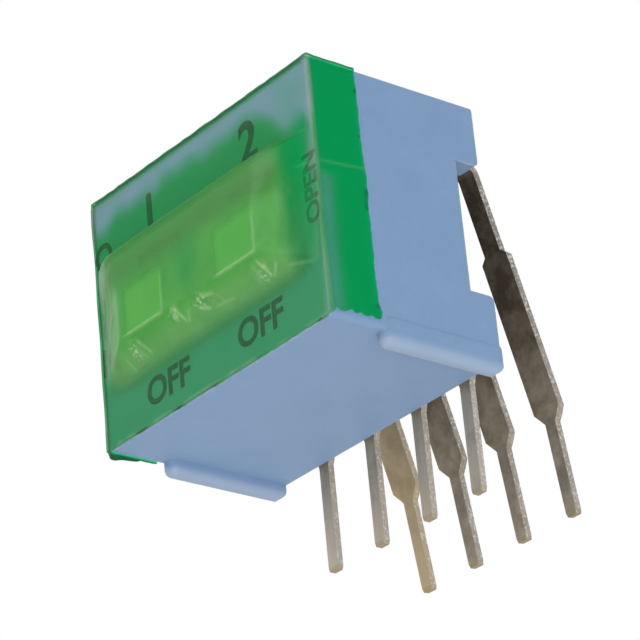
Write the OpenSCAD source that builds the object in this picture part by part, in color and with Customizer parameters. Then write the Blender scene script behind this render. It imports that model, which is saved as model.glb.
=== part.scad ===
// Right-angle two-actuator slide switch for a circuit board, with its wash seal tape still on.
// Millimetres. X runs along the row of poles, Y from the actuator face back into the body, Z up.
// The origin is on the board surface, in the middle of the two rows of leads.

/* [Poles] */
// Spacing of the poles and of the leads along the body
pole_pitch = 2.54; // [2.3:0.02:2.8]
// Spacing of the two lead rows where they leave the body
lead_row = 7.62; // [7.2:0.02:8.2]
// Spacing of the two lead rows at the board
board_row = 3.81; // [3.5:0.01:5.08]

/* [Housing] */
// Length of the housing beyond the outer poles, at each end
end_margin = 1.015; // [0.95:0.005:1.5]
// Height of the housing beyond each lead row
row_margin = 1.015; // [0.95:0.005:1.4]
// Depth of the housing from the actuator face to the back of its feet
body_d = 7.24; // [6.9:0.02:9]
// Thickness of the end walls
end_wall = 0.8; // [0.5:0.05:0.9]
// Thickness of the top and bottom walls
long_wall = 0.55; // [0.4:0.05:0.65]
// Thickness of the front wall that the actuators pass through
front_wall = 0.9; // [0.6:0.05:1.2]
// Thickness of the wall between the two actuators
divider_t = 0.5; // [0.3:0.05:0.7]
// Radius of the moulded corners
corner_r = 0.2; // [0.1:0.05:0.35]

/* [Feet and ribs] */
// Height of each corner foot along the end wall
foot_h = 2.35; // [1.5:0.05:3]
// Depth of the notch between the feet
foot_d = 1.02; // [0.6:0.02:1.3]
// Rounding of the feet at the notch
foot_r = 0.2; // [0.1:0.05:0.5]
// How far the standoff ribs hold the body off the board
rib_h = 0.5; // [0.3:0.05:1]
// Width of the standoff ribs
rib_w = 0.65; // [0.6:0.05:1.2]
// Height of the ribs, from the board up the end walls
rib_top = 1.1; // [1:0.05:1.4]
// Rounding of the ribs, as a share of their width
rib_round = 0.41; // [0.2:0.01:0.41]
// How far the ribs bulge past the end walls
rib_proud = 0.08; // [0.02:0.01:0.15]

/* [Actuators] */
// Length of the finger nub along the body
nub_x = 2.3; // [1.6:0.05:2.8]
// Height of the finger nub along its travel
nub_z = 1.75; // [1.2:0.05:2.2]
// How far the nub stands out of the front wall
nub_out = 0.9; // [0.5:0.05:1.4]
// Rounding of the nub corners
nub_r = 0.2; // [0.1:0.05:0.4]
// Travel from the open to the closed position
travel = 1.52; // [1:0.02:1.8]
// Height of the slide plate behind the wall
slider_h = 4.6; // [4.2:0.1:5]
// Thickness of the slide plate
slider_t = 1.2; // [0.9:0.05:1.6]
// Running clearance round the actuators
slide_gap = 0.05; // [0.03:0.01:0.1]

/* [Contacts] */
// Thickness of the wiper leaf
wiper_t = 0.1; // [0.08:0.01:0.14]
// Width of the wiper leaf
wiper_w = 0.7; // [0.5:0.05:0.9]
// Width of the slit that splits each wiper arm
slit_w = 0.16; // [0.1:0.02:0.24]
// Distance between the two contact points of a wiper
wiper_span = 2.5; // [2.3:0.05:2.9]
// Slope of the wiper arms
arm_deg = 35; // [32:1:42]
// Radius of the rolled contact points
contact_r = 0.3; // [0.2:0.05:0.4]
// Length of the lifted tail past each contact point
tail_l = 0.5; // [0.35:0.05:0.6]
// Depth of the pocket that the wiper sits in
pocket_d = 0.3; // [0.2:0.05:0.4]
// Clearance round the wiper in its pocket
pocket_gap = 0.08; // [0.05:0.01:0.12]
// Diameter of the post that locates the wiper
post_d = 0.36; // [0.25:0.01:0.4]
// Clearance of the post in the wiper
post_gap = 0.02; // [0.01:0.01:0.04]
// Space between the slide plate and the terminal base
wiper_space = 0.4; // [0.34:0.02:0.5]
// Gap left at the contact points
contact_gap = 0.03; // [0.02:0.01:0.05]
// Length of the fixed contact past the wiper's last contact point
pad_margin = 0.3; // [0.2:0.05:0.45]

/* [Leads] */
// Thickness of the lead strip
metal_t = 0.25; // [0.2:0.01:0.3]
// Width of the leads at the base and through the body
neck_w = 0.78; // [0.6:0.02:1]
// Width of the shoulder on the upper leads
shoulder_w = 1.25; // [1.05:0.05:1.6]
// Width of the solder tips
tip_w = 0.5; // [0.4:0.02:0.56]
// Length of the solder tips below the board surface
tip_l = 3.3; // [2.5:0.1:4]
// Length of the chamfer at the end of a tip
tip_chamfer = 0.16; // [0.08:0.02:0.2]
// Height of the step from neck to shoulder, above the board
shoulder_top = 6.1; // [5:0.1:6.6]
// Height at which the shoulder ends, above the board
shoulder_end = 0.5; // [0.45:0.05:0.9]
// Length of the taper from shoulder to tip
taper_l = 0.45; // [0.3:0.05:0.45]
// Length of the step from neck to shoulder
step_l = 0.2; // [0.1:0.05:0.4]
// Outward lean of the upper leads
lean_deg = 16.5; // [10:0.5:17]
// Outward lean of the upper tips
tip_lean_deg = 8; // [0:1:12]
// Height above the board at which the upper leads straighten
knee_z = 0.2; // [0.1:0.05:0.3]
// Bend radius at the middle of the strip
bend_r = 0.42; // [0.3:0.02:0.45]
// Bend radius at the fixed contacts, at the middle of the strip
pad_bend_r = 0.25; // [0.2:0.01:0.4]
// Space between the feet and the lower leads
lead_clear = 0.365; // [0.2:0.005:1]

/* [Base and seal] */
// Thickness of the poured seal
seal_t = 0.67; // [0.4:0.01:1]
// Clearance of the base in the housing
base_gap = 0.03; // [0.01:0.01:0.05]
// Clearance of the leads in the base and in the seal
lead_gap = 0.02; // [0.01:0.01:0.03]

/* [Tape] */
// Thickness of the tape
tape_t = 0.08; // [0.05:0.01:0.12]
// Length of the tape folded over each end
flap_l = 2; // [1:0.05:2.6]
// Space between the end of a flap and its standoff rib
flap_gap = 0.2; // [0.1:0.05:0.5]
// Room that the tape leaves round the nubs
tape_gap = 0.06; // [0.04:0.01:0.1]
// Run of the tape down to the face, at the ends
tent_end = 1.6; // [1:0.05:1.65]
// Run of the tape down to the face, between the nubs
tent_mid = 5; // [2:0.1:6]
// Run of the tape down to the face, above the nubs
tent_top = 0.4; // [0.3:0.05:0.8]
// Run of the tape down to the face, below the nubs
tent_bottom = 1.2; // [0.6:0.05:1.5]

/* [Hidden] */
$fn = 48;

// Overlap that lets a cut run clear through a face
cut = 0.1;
// Straight pieces in the arc of each bend
bend_steps = 10;

// Poles, counted from the left end as seen from the front
pole_count = 4;
poles_each = 2;
pole_x = [for (i = [0 : pole_count - 1]) (i - (pole_count - 1) / 2) * pole_pitch];
actuator_x = [-pole_pitch, pole_pitch];

// Body outline, with heights above the board
body_l = pole_count * pole_pitch + 2 * end_margin;
body_h = lead_row + 2 * row_margin;
body_z = rib_h + body_h / 2;
upper_z = body_z + lead_row / 2;
lower_z = body_z - lead_row / 2;
inner_l = body_l - 2 * end_wall;
inner_h = body_h - 2 * long_wall;

// Depths behind the actuator face
slider_y = front_wall + slide_gap;
pocket_y = slider_y + slider_t - pocket_d;
base_y = slider_y + slider_t + wiper_space;
seal_back = body_d - foot_d;
base_back = seal_back - seal_t;
rib_y = flap_l + flap_gap;
rib_r = rib_round * rib_w;

// Actuators and the chambers that they slide in
rest_z = body_z - travel / 2;
slider_x = 2 * pole_pitch - divider_t - 2 * slide_gap;
chamber_x = slider_x + 2 * slide_gap;
chamber_h = slider_h + travel + 2 * slide_gap;
slot_x = nub_x + 2 * slide_gap;
slot_h = nub_z + travel + 2 * slide_gap;

// Wiper leaf: its seat, the corners of its bends and half its flat middle
leaf_y = pocket_y + wiper_t / 2;
contact_y = base_y - contact_gap - wiper_t / 2 - contact_r + contact_r / cos(arm_deg);
leaf_half = wiper_span / 2 - (contact_y - leaf_y) / tan(arm_deg);
tail_y = contact_y - tail_l * sin(arm_deg);
tail_z = wiper_span / 2 + tail_l * cos(arm_deg);
slit_z = leaf_half + contact_r;

// Fixed contacts: where each pad ends, above the board
pad_y = base_y + metal_t / 2;
upper_pad_z = body_z + wiper_span / 2;
lower_pad_z = body_z - wiper_span / 2 + travel / 2 + pad_margin;

// Rows of leads behind the body
lower_y = body_d + lead_clear + metal_t / 2;
upper_y = lower_y + board_row;
knee_y = upper_y - knee_z * tan(tip_lean_deg);
bend_y = knee_y - (upper_z - knee_z) * tan(lean_deg);
tip_y = upper_y + tip_l * tan(tip_lean_deg);
front_y = -(lower_y + upper_y) / 2;
upper_path = [[pad_y, upper_pad_z], [pad_y, upper_z], [bend_y, upper_z], [knee_y, knee_z], [tip_y, -tip_l]];
lower_path = [[pad_y, lower_pad_z], [pad_y, lower_z], [lower_y, lower_z], [lower_y, -tip_l]];
lead_radii = [0, pad_bend_r, bend_r, bend_r, 0];

// Tape raised over the nubs: the room under it and how far it reaches
tent_h = nub_out + tape_gap;
tent_x = nub_x / 2 + tape_gap;
tent_z = (nub_z + travel) / 2 + tape_gap;

// Moves a shape drawn from the actuator face and the board to its place in the part
module placed() {
    translate([0, front_y, 0])
        children();
}

// Extrudes an outline drawn in X and Z along Y, between two depths
module along_depth(from, to) {
    translate([0, to, 0])
        rotate([90, 0, 0])
            linear_extrude(to - from)
                children();
}

// Extrudes a profile drawn in Y and Z along X, about the middle
module across(width) {
    rotate([90, 0, 90])
        linear_extrude(width, center = true)
            children();
}

// Rectangle with arcs at its corners, about the middle
module rounded_rect(size, r) {
    square([size[0] - 2 * r, size[1]], center = true);
    square([size[0], size[1] - 2 * r], center = true);
    for (sx = [-1, 1])
        for (sy = [-1, 1])
            translate([sx * (size[0] / 2 - r), sy * (size[1] / 2 - r)])
                circle(r);
}

// Direction of a run, the unit vector to its left and the signed turn at a corner
function aim(a, b) = atan2(b[1] - a[1], b[0] - a[0]);
function left(angle) = [-sin(angle), cos(angle)];
function wrap(angle) = angle > 180 ? angle - 360 : angle < -180 ? angle + 360 : angle;
function turn(path, i) = wrap(aim(path[i], path[i + 1]) - aim(path[i - 1], path[i]));

// Points along the middle of one bend, each with the unit vector to its left
function bend_samples(path, r, i) =
    let (
        from = aim(path[i - 1], path[i]),
        by = turn(path, i),
        start = path[i] - r * tan(abs(by) / 2) * [cos(from), sin(from)],
        middle = start + sign(by) * r * left(from),
        steps = abs(by) < 1 ? 0 : bend_steps
    )
    [for (k = [0 : steps])
        let (angle = from + by * k / bend_steps)
        [middle - sign(by) * r * left(angle), left(angle)]];

function strip_samples(path, radii) =
    let (last = len(path) - 1)
    concat(
        [[path[0], left(aim(path[0], path[1]))]],
        [for (i = [1 : last - 1]) each bend_samples(path, radii[i], i)],
        [[path[last], left(aim(path[last - 1], path[last]))]]
    );

// Strip of metal bent along a path, drawn edge on, with an arc at each corner
module bent_strip(path, radii, t) {
    samples = strip_samples(path, radii);
    last = len(samples) - 1;
    polygon([
        for (p = samples) p[0] + p[1] * t / 2,
        for (i = [0 : last]) samples[last - i][0] - samples[last - i][1] * t / 2
    ]);
}

// Block with its length and height about the middle of the body, between two depths
module body_block(length, height, from, to) {
    translate([-length / 2, from, body_z - height / 2])
        cube([length, to - from, height]);
}

// Room for one lead through the base and the seal
module lead_space(path) {
    across(neck_w + 2 * lead_gap)
        bent_strip(path, lead_radii, metal_t + 2 * lead_gap);
}

module lead_spaces() {
    for (x = pole_x)
        translate([x, 0, 0]) {
            lead_space(upper_path);
            lead_space(lower_path);
        }
}

// Section of a standoff bead, about its middle
module bead_section() {
    rounded_rect([rib_w, rib_top], rib_r);
}

// Moulded bead along the bottom edge of one end, with a round nose in front and a rounded corner at the back
module standoff_rib(side) {
    nose_y = rib_y + rib_w / 2;
    rib_l = body_d - rib_y;
    translate([side * (body_l / 2 + rib_proud - rib_w / 2), 0, rib_top / 2])
        intersection() {
            union() {
                along_depth(nose_y, body_d)
                    bead_section();
                translate([0, nose_y, 0])
                    rotate_extrude()
                        intersection() {
                            bead_section();
                            translate([0, -rib_top / 2])
                                square([rib_w / 2, rib_top]);
                        }
            }
            across(2 * rib_w) {
                translate([rib_y + rib_l / 2 - rib_r, 0])
                    rounded_rect([rib_l + 2 * rib_r, rib_top], rib_r);
                translate([rib_y - rib_r, 0])
                    square([rib_l + rib_r, rib_top / 2]);
            }
        }
}

// Cut between the feet, which leaves their inner corners rounded
module foot_notch() {
    notch_h = body_h - 2 * foot_h;
    across(body_l + cut)
        difference() {
            translate([seal_back, body_z - notch_h / 2 - foot_r])
                square([foot_d + cut, notch_h + 2 * foot_r]);
            for (side = [-1, 1])
                translate([body_d - foot_r, body_z + side * (notch_h / 2 + foot_r)]) {
                    circle(foot_r);
                    translate([-foot_d, -foot_r])
                        square([foot_d, 2 * foot_r]);
                }
        }
}

module housing() {
    color("#8099C0")
        placed()
            difference() {
                union() {
                    along_depth(0, body_d)
                        translate([0, body_z])
                            rounded_rect([body_l, body_h], corner_r);
                    standoff_rib(-1);
                    standoff_rib(1);
                }
                for (x = actuator_x)
                    translate([x, 0, 0]) {
                        body_block(slot_x, slot_h, -cut, front_wall + cut);
                        body_block(chamber_x, chamber_h, front_wall, base_y + cut);
                    }
                body_block(inner_l, inner_h, base_y, body_d + cut);
                foot_notch();
            }
}

// Frustum of tape over the right nub, from its footprint on the face to its flat top
module tent(grow) {
    top = tent_h + grow;
    inner = pole_pitch - tent_x - grow;
    outer = pole_pitch + tent_x + grow;
    low = body_z - tent_z - grow;
    high = body_z + tent_z + grow;
    corners = [
        [inner - tent_mid, 0, low - tent_bottom],
        [outer + tent_end, 0, low - tent_bottom],
        [outer + tent_end, 0, high + tent_top],
        [inner - tent_mid, 0, high + tent_top],
        [inner, -top, low],
        [outer, -top, low],
        [outer, -top, high],
        [inner, -top, high]
    ];
    polyhedron(corners, [
        [0, 1, 2, 3],
        [7, 6, 5, 4],
        [4, 5, 1, 0],
        [5, 6, 2, 1],
        [6, 7, 3, 2],
        [7, 4, 0, 3]
    ]);
}

// The same shape over both nubs
module tents(grow) {
    for (side = [0, 1])
        mirror([side, 0, 0])
            tent(grow);
}

module tape_seal() {
    color("#3C9A66")
        placed()
            difference() {
                union() {
                    body_block(body_l + 2 * tape_t, body_h, -tape_t, 0);
                    for (side = [-1, 1])
                        translate([side * (body_l + tape_t) / 2, 0, 0])
                            body_block(tape_t, body_h, -tape_t, flap_l);
                    tents(tape_t);
                }
                tents(0);
            }
}

// Moulded block that carries the leads and closes the back of the chambers
module terminal_base() {
    color("#7F97BC")
        placed()
            difference() {
                body_block(inner_l - 2 * base_gap, inner_h - 2 * base_gap, base_y, base_back);
                lead_spaces();
            }
}

// Potting poured level with the notches, round the leads
module epoxy_seal() {
    color("#3A4048")
        placed()
            difference() {
                body_block(inner_l - 2 * base_gap, inner_h - 2 * base_gap, base_back, seal_back);
                lead_spaces();
            }
}

// Slide plate with a nub through the front wall and a pocket and post for each wiper
module actuator(i) {
    color("#ECE9DD")
        placed()
            translate([actuator_x[i], 0, rest_z]) {
                along_depth(-nub_out, slider_y)
                    rounded_rect([nub_x, nub_z], nub_r);
                difference() {
                    translate([-slider_x / 2, slider_y, -slider_h / 2])
                        cube([slider_x, slider_t, slider_h]);
                    for (side = [-1, 1])
                        translate([side * pole_pitch / 2, 0, 0])
                            along_depth(pocket_y, pocket_y + pocket_d + cut)
                                square([wiper_w, 2 * tail_z] + 2 * [pocket_gap, pocket_gap], center = true);
                }
                for (side = [-1, 1])
                    translate([side * pole_pitch / 2, 0, 0])
                        along_depth(pocket_y, pocket_y + pocket_d)
                            circle(d = post_d);
            }
}

// Split leaf that bridges the two fixed contacts of one pole
module wiper(pole) {
    i = floor(pole / poles_each);
    corner = [0, contact_r, contact_r, contact_r, contact_r, 0];
    path = [
        [tail_y, -tail_z],
        [contact_y, -wiper_span / 2],
        [leaf_y, -leaf_half],
        [leaf_y, leaf_half],
        [contact_y, wiper_span / 2],
        [tail_y, tail_z]
    ];
    color("#C9A45A")
        placed()
            translate([pole_x[pole], 0, rest_z])
                difference() {
                    across(wiper_w)
                        bent_strip(path, corner, wiper_t);
                    along_depth(pocket_y - cut, base_y)
                        circle(d = post_d + 2 * post_gap);
                    for (side = [0, 1])
                        mirror([0, 0, side])
                            translate([-slit_w / 2, pocket_y, slit_z])
                                cube([slit_w, base_y - pocket_y, tail_z]);
                }
}

// Outline of a lead seen from the front: neck, shoulder, taper and chamfered tip
module lead_outline(top, wide_from, wide_to, wide) {
    half = [
        [neck_w, top],
        [neck_w, wide_from],
        [wide, wide_from - step_l],
        [wide, wide_to],
        [tip_w, wide_to - taper_l],
        [tip_w, tip_chamfer - tip_l],
        [tip_w - tip_chamfer, -tip_l - cut]
    ];
    last = len(half) - 1;
    polygon([
        for (p = half) [p[0] / 2, p[1]],
        for (i = [0 : last]) [-half[last - i][0] / 2, half[last - i][1]]
    ]);
}

// Lead stamped from strip: contact pad, run through the base, bend and solder tip
module upper_terminal(pole) {
    color("#B3ACA0")
        placed()
            translate([pole_x[pole], 0, 0])
                intersection() {
                    across(shoulder_w)
                        bent_strip(upper_path, lead_radii, metal_t);
                    along_depth(base_y - cut, tip_y + metal_t)
                        lead_outline(upper_z + metal_t, shoulder_top, shoulder_end, shoulder_w);
                }
}

module lower_terminal(pole) {
    neck_end = lower_z - metal_t;
    color("#B3ACA0")
        placed()
            translate([pole_x[pole], 0, 0])
                intersection() {
                    across(shoulder_w)
                        bent_strip(lower_path, lead_radii, metal_t);
                    along_depth(base_y - cut, lower_y + metal_t)
                        lead_outline(lower_pad_z + metal_t, neck_end, neck_end - step_l, neck_w);
                }
}

housing();
tape_seal();
terminal_base();
epoxy_seal();
actuator(0);  // actuator_1
actuator(1);  // actuator_2
wiper(0);  // wiper_1a
wiper(1);  // wiper_1b
wiper(2);  // wiper_2a
wiper(3);  // wiper_2b
upper_terminal(0);  // upper_terminal_1
upper_terminal(1);  // upper_terminal_2
upper_terminal(2);  // upper_terminal_3
upper_terminal(3);  // upper_terminal_4
lower_terminal(0);  // lower_terminal_1
lower_terminal(1);  // lower_terminal_2
lower_terminal(2);  // lower_terminal_3
lower_terminal(3);  // lower_terminal_4
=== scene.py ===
import math

import bmesh
import bpy
import numpy as np
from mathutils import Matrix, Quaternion, Vector


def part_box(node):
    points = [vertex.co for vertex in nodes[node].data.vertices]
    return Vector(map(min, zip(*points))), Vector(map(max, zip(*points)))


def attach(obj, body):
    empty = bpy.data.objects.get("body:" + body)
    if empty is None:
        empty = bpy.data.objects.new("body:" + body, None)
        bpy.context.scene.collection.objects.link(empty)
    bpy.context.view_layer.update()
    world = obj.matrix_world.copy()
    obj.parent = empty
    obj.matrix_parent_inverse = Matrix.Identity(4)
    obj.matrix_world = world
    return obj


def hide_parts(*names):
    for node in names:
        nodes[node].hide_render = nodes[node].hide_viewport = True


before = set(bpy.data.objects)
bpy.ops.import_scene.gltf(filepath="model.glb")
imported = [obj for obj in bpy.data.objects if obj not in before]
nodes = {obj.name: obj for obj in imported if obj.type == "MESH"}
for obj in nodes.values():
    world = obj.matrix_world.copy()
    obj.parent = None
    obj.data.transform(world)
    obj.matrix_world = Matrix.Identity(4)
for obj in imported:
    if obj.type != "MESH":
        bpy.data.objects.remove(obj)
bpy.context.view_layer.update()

mm = 0.001


def boxMm(node):
    # a node's low and high corners in millimetres
    low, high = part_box(node)
    return np.array(low) / mm, np.array(high) / mm


# places that the film and the print are worked out from, all in mm
tapeLow, tapeHigh = boxMm("tape_seal")
nubLow, nubHigh = boxMm("actuator_2")
faceY = boxMm("housing")[0][1]
tapeThick = 0.08
halfLength = tapeHigh[0] - tapeThick
bottomZ, topZ = tapeLow[2], tapeHigh[2]
nubX = (nubLow[0] + nubHigh[0]) / 2
nubOut = faceY - nubLow[1]
print("frame: face at", round(faceY, 3), "half length", round(halfLength, 3), "top", round(topZ, 3))


def hexColour(text):
    # sRGB hex to linear: the standard curve, v/12.92 near black and ((v+0.055)/1.055)^2.4 above
    channels = [int(text[i:i + 2], 16) / 255 for i in (1, 3, 5)]
    return [c / 12.92 if c <= 0.04045 else ((c + 0.055) / 1.055) ** 2.4 for c in channels] + [1.0]


def perMm(size):
    # pattern scale on Object coordinates (metres) for a feature of this many millimetres
    return 1 / (size * mm)


def addNode(tree, kind, settings={}, inputs={}):
    # one node: settings are its own properties, inputs are values or the sockets to link from
    node = tree.nodes.new(kind)
    for name, value in settings.items():
        setattr(node, name, value)
    for name, value in inputs.items():
        if isinstance(value, bpy.types.NodeSocket):
            tree.links.new(value, node.inputs[name])
        else:
            node.inputs[name].default_value = value
    return node


def objectPlace(tree):
    # a point's place on its piece, in metres
    return addNode(tree, "ShaderNodeTexCoord").outputs["Object"]


def noise(tree, place, size, detail, roughness=0.5, distortion=0.0):
    # cloud noise with features about this many millimetres across
    return addNode(tree, "ShaderNodeTexNoise", {}, {
        "Vector": place,
        "Scale": perMm(size),
        "Detail": detail,
        "Roughness": roughness,
        "Distortion": distortion,
    }).outputs["Fac"]


def ramp(tree, value, fromRange=(0.0, 1.0), toRange=(0.0, 1.0)):
    # a straight line from one range to another, level past both ends
    return addNode(tree, "ShaderNodeMapRange", {}, {
        "Value": value,
        "From Min": fromRange[0],
        "From Max": fromRange[1],
        "To Min": toRange[0],
        "To Max": toRange[1],
    }).outputs["Result"]


def combine(tree, operation, first, second, clamp=False):
    # two values into one, kept between 0 and 1 if clamped
    return addNode(tree, "ShaderNodeMath", {"operation": operation, "use_clamp": clamp}, {
        0: first, 1: second,
    }).outputs["Value"]


def blend(tree, share, under, over):
    # one colour laid over another by a share from 0 to 1
    return addNode(tree, "ShaderNodeMixRGB", {}, {
        "Fac": share, "Color1": under, "Color2": over,
    }).outputs["Color"]


def newMaterial(name):
    # an empty node tree with its output, ready for the shader
    material = bpy.data.materials.new(name)
    material.use_nodes = True
    material.node_tree.nodes.clear()
    output = material.node_tree.nodes.new("ShaderNodeOutputMaterial")
    return material, material.node_tree, output


def dress(node, material):
    # the CAD mesh stays as packed, only its material is set
    node.data.materials.clear()
    node.data.materials.append(material)


def smoothRamp(values, low, high):
    # 0 below low, 1 above high, 3t^2 - 2t^3 between
    t = np.clip((values - low) / (high - low), 0, 1)
    return t * t * (3 - 2 * t)


def window(values, rising, falling):
    # up from 0 to 1 over the rising range, down to 0 again over the falling one
    return smoothRamp(values, *rising) * (1 - smoothRamp(values, *falling))


def bump(values, centre, width):
    # bell curve, exp of minus the squared distance in widths
    return np.exp(-((values - centre) / width) ** 2)


def ragged(values, size, depth, seed):
    # torn edge: straight lines between random knots, size apart, within plus or minus depth
    random = np.random.default_rng(seed)
    knots = np.arange(-12, 24, size)   # mm, past both ends of the strip
    return np.interp(values, knots, random.uniform(-depth, depth, len(knots)))


def specks(values, size, seed, gain, level):
    # broken patches along an edge: a torn line of depth 1 times a gain, plus a level, cut to 0 and 1
    return np.clip(gain * ragged(values, size, 1.0, seed) + level, 0, 1)


def meshPiece(name, points, quads, material):
    # points in mm and quads as index rows go into one mesh, its normals turned outwards
    mesh = bpy.data.meshes.new(name)
    mesh.vertices.add(len(points))
    mesh.vertices.foreach_set("co", (points * mm).astype(np.float32).ravel())
    mesh.loops.add(quads.size)
    mesh.loops.foreach_set("vertex_index", quads.astype(np.int32).ravel())
    mesh.polygons.add(len(quads))
    mesh.polygons.foreach_set("loop_start", np.arange(0, quads.size, 4, dtype=np.int32))
    mesh.update(calc_edges=True)
    mesh.validate()
    work = bmesh.new()
    work.from_mesh(mesh)
    bmesh.ops.recalc_face_normals(work, faces=work.faces)
    work.to_mesh(mesh)
    work.free()
    mesh.polygons.foreach_set("use_smooth", np.ones(len(mesh.polygons), dtype=bool))
    mesh.materials.append(material)
    piece = bpy.data.objects.new(name, mesh)
    bpy.context.scene.collection.objects.link(piece)
    return piece


def gridShell(outer, inner):
    # two grids of points, rows by columns, closed into one shell by a rim of quads
    rows, columns = outer.shape[:2]
    count = rows * columns
    index = np.arange(count).reshape(rows, columns)
    front = np.stack([index[:-1, :-1], index[1:, :-1], index[1:, 1:], index[:-1, 1:]], -1).reshape(-1, 4)
    loop = np.concatenate([index[:-1, 0], index[-1, :-1], index[:0:-1, -1], index[0, :0:-1]])
    following = np.roll(loop, -1)
    rim = np.stack([following, loop, loop + count, following + count], -1)
    points = np.concatenate([outer.reshape(-1, 3), inner.reshape(-1, 3)])
    return points, np.concatenate([front, front[:, ::-1] + count, rim])


# Camera at the photograph's angle, below the part and in front of its right end
cameraSet = {
    "aim": (-2.01, -3.11, 5.34),   # mm, the middle of the picture
    "distance": 123.0,             # mm
    "azimuth": 49.04,
    "elevation": -25.65,
    "roll": -5.53,
    "lens": 196.6,
    "sensor": 36.0,
    "clip": (0.001, 10),           # m
}


def placeCamera(setting):
    # stands back from the aim along azimuth and elevation, then rolls about the line of sight
    around, above = math.radians(setting["azimuth"]), math.radians(setting["elevation"])
    back = Vector((
        math.sin(around) * math.cos(above),
        -math.cos(around) * math.cos(above),
        math.sin(above),
    ))
    data = bpy.data.cameras.new("photo_camera")
    data.lens = setting["lens"]
    data.sensor_width = setting["sensor"]
    data.clip_start, data.clip_end = setting["clip"]
    camera = bpy.data.objects.new("photo_camera", data)
    bpy.context.scene.collection.objects.link(camera)
    camera.location = (Vector(setting["aim"]) + back * setting["distance"]) * mm
    turn = (-back).to_track_quat("-Z", "Y") @ Quaternion((0, 0, 1), math.radians(setting["roll"]))
    camera.rotation_mode = "QUATERNION"
    camera.rotation_quaternion = turn
    bpy.context.scene.camera = camera
    return -back


lineOfSight = placeCamera(cameraSet)
print("camera placed")

# Studio: a pale floor well below, a white surround that is dimmer on the camera's side, soft lights
studio = {
    "floorZ": -165.0,       # mm, clear of low views
    "floorHalf": 1500.0,    # mm
    "floorColour": "#F2F1EE",
    "floorGrain": 3.0,      # mm
    "floorRoughness": (0.85, 0.95),
    "surroundBack": 1.0,    # brightness behind the part as the photograph sees it
    "surroundFront": 0.4,
    "surroundTurn": (-0.2, 0.8),   # cosine from the line of sight over which it grows
    "aim": (0, -4, 4),      # mm, where the lights look
    "lights": {
        # place in mm, size in mm, watts, colour
        "right_panel": ((190, -60, -30), 160, 0.13, "#E0EEFF"),
        "low_panel": ((110, -80, -110), 120, 0.075, "#FFD79E"),
        "front_panel": ((-60, -200, 90), 140, 0.15, "#FFFFFF"),
    },
}


def layFloor(setting):
    # one level quad of matt paper
    material, tree, output = newMaterial("matt_paper_floor")
    grain = noise(tree, objectPlace(tree), setting["floorGrain"], detail=2.0)
    surface = addNode(tree, "ShaderNodeBsdfPrincipled", {}, {
        "Base Color": hexColour(setting["floorColour"]),
        "Roughness": ramp(tree, grain, toRange=setting["floorRoughness"]),
    })
    tree.links.new(surface.outputs["BSDF"], output.inputs["Surface"])
    half, level = setting["floorHalf"], setting["floorZ"]
    corners = np.array([[-half, -half, level], [half, -half, level], [half, half, level], [-half, half, level]])
    meshPiece("studio_floor", corners, np.array([[0, 1, 2, 3]]), material)


def lightStudio(setting):
    # surround by the direction's share along the line of sight, and square area lights turned to the aim
    world = bpy.data.worlds.new("studio_surround")
    world.use_nodes = True
    bpy.context.scene.world = world
    tree = world.node_tree
    tree.nodes.clear()
    toward = addNode(tree, "ShaderNodeTexCoord")
    share = addNode(tree, "ShaderNodeVectorMath", {"operation": "DOT_PRODUCT"}, {
        0: toward.outputs["Generated"],
        1: tuple(lineOfSight),
    })
    strength = addNode(tree, "ShaderNodeMapRange", {"interpolation_type": "SMOOTHSTEP"}, {
        "Value": share.outputs["Value"],
        "From Min": setting["surroundTurn"][0],
        "From Max": setting["surroundTurn"][1],
        "To Min": setting["surroundFront"],
        "To Max": setting["surroundBack"],
    })
    glow = addNode(tree, "ShaderNodeBackground", {}, {
        "Color": (1, 1, 1, 1), "Strength": strength.outputs["Result"],
    })
    addNode(tree, "ShaderNodeOutputWorld", {}, {"Surface": glow.outputs["Background"]})

    aim = Vector(setting["aim"]) * mm
    for name, (place, size, watts, colour) in setting["lights"].items():
        data = bpy.data.lights.new(name, "AREA")
        data.size = size * mm
        data.energy = watts
        data.color = hexColour(colour)[:3]
        light = bpy.data.objects.new(name, data)
        bpy.context.scene.collection.objects.link(light)
        light.location = Vector(place) * mm
        light.rotation_mode = "QUATERNION"
        light.rotation_quaternion = (aim - light.location).to_track_quat("-Z", "Y")


layFloor(studio)
lightStudio(studio)
bpy.context.scene.view_settings.view_transform = "Standard"
print("studio lit")

# Moulded polyester: satin, faintly mottled by the flow, fine spark grain, edges rubbed pale
mouldedBlue = {
    "body": "#84A6CF",
    "cloud": "#789AC5",
    "rubbed": "#DDE2EA",
    "roughness": 0.46,
    "ior": 1.52,
    "cloudSize": 1.6,           # mm
    "grainSize": 0.09,          # mm, drawn coarser than the real spark grain so that it shows
    "grainHeight": 0.004,       # mm
    "grainShare": 0.6,
    "grainShine": (-0.08, 0.12),   # what the grain adds to the roughness
    "edgeRadius": 0.10,         # mm, how far a corner is broken
    "edgeTurn": (0.98, 0.80),   # cosine of a broken edge's turn, from sound to bare
    "edgeShare": 0.9,           # how far the barest edge is rubbed
    "chipSize": 0.3,            # mm, of the rubbed spots along the edges
    "chipNoise": (0.4, 0.65),
    "chipLeast": 0.15,
    "cornerReach": 0.3,         # mm
    "cornerLight": (0.7, 0.95), # open share of the sky, from an inner corner to an outer edge
    "paleNearBoardZ": (0.45, 0.225),    # mm above the board, over which the ribs get paler
    "paleNearBoardShare": 0.2,
    "speckNoise": (0.58, 0.8),
    "speckShare": 0.08,         # of the pale specks all over
}


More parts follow.
